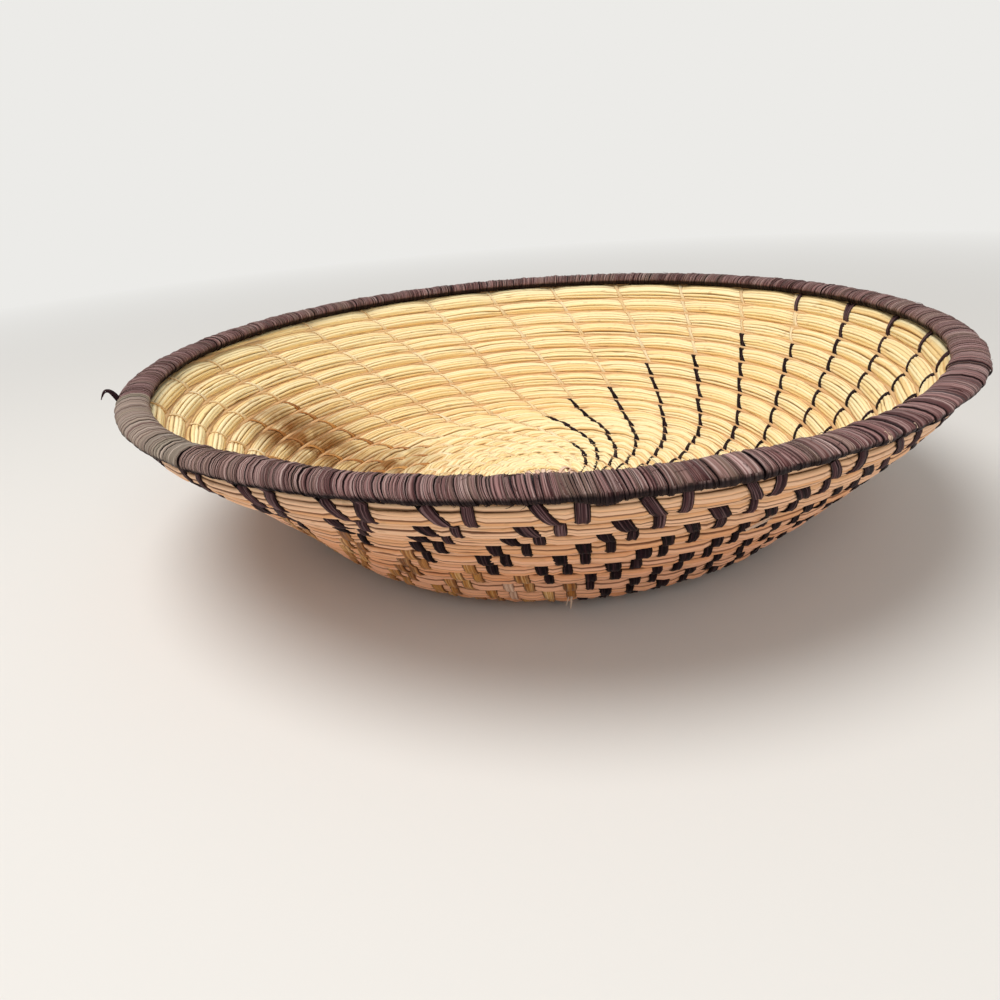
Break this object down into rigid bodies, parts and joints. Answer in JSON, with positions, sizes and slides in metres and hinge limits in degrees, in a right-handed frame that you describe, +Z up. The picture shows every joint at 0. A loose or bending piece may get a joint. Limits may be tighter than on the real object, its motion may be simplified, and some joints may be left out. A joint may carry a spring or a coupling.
{
  "type": "coiled basket bowl",
  "caption": "Shallow round bowl of coiled grass bound with spaced raffia stitches, with a flat raffia-lashed rim and a flat base.",
  "frame": {"origin": "centre of the base on the surface that the bowl stands on", "axes": "+Z up along the bowl's axis; the picture looks roughly along +Y"},
  "size_m": [0.3, 0.3, 0.0665],
  "materials": {
    "grass": "dry straw stems, matt with a slight sheen",
    "dark_raffia": "dyed raffia strip, low sheen",
    "undyed_raffia": "undyed ochre raffia strip, low sheen",
    "rim_raffia": "close-wound mauve-brown raffia, fibrous, low sheen",
    "faded_raffia": "close-wound grey-taupe raffia, fibrous, low sheen"
  },
  "bodies": {
    "root": {"foundation_coil": "grass", "rim_bundle": "grass", "rim_lashing_01": "rim_raffia", "rim_lashing_02": "rim_raffia", "rim_lashing_03": "rim_raffia", "rim_lashing_04": "rim_raffia", "rim_lashing_05": "rim_raffia", "rim_lashing_06": "rim_raffia", "rim_lashing_07": "faded_raffia", "rim_lashing_08": "rim_raffia", "rim_lashing_09": "rim_raffia", "rim_lashing_10": "rim_raffia", "rim_lashing_11": "rim_raffia", "rim_lashing_12": "rim_raffia", "stitch_column_01": "dark_raffia", "stitch_column_02": "dark_raffia", "stitch_column_03": "dark_raffia", "stitch_column_04": "undyed_raffia", "stitch_column_05": "undyed_raffia", "stitch_column_06": "undyed_raffia", "stitch_column_07": "undyed_raffia", "stitch_column_08": "undyed_raffia", "stitch_column_09": "undyed_raffia", "stitch_column_10": "undyed_raffia", "stitch_column_11": "undyed_raffia", "stitch_column_12": "undyed_raffia", "stitch_column_13": "undyed_raffia", "stitch_column_14": "undyed_raffia", "stitch_column_15": "undyed_raffia", "stitch_column_16": "undyed_raffia", "stitch_column_17": "dark_raffia", "stitch_column_18": "dark_raffia", "stitch_column_19": "dark_raffia", "stitch_column_20": "dark_raffia", "stitch_column_21": "dark_raffia", "stitch_column_22": "dark_raffia", "stitch_column_23": "dark_raffia", "stitch_column_24": "dark_raffia", "stitch_column_25": "dark_raffia", "stitch_column_26": "dark_raffia", "stitch_column_27": "dark_raffia", "stitch_column_28": "dark_raffia", "stitch_column_29": "dark_raffia", "stitch_column_30": "dark_raffia"}
  },
  "joints": []
}
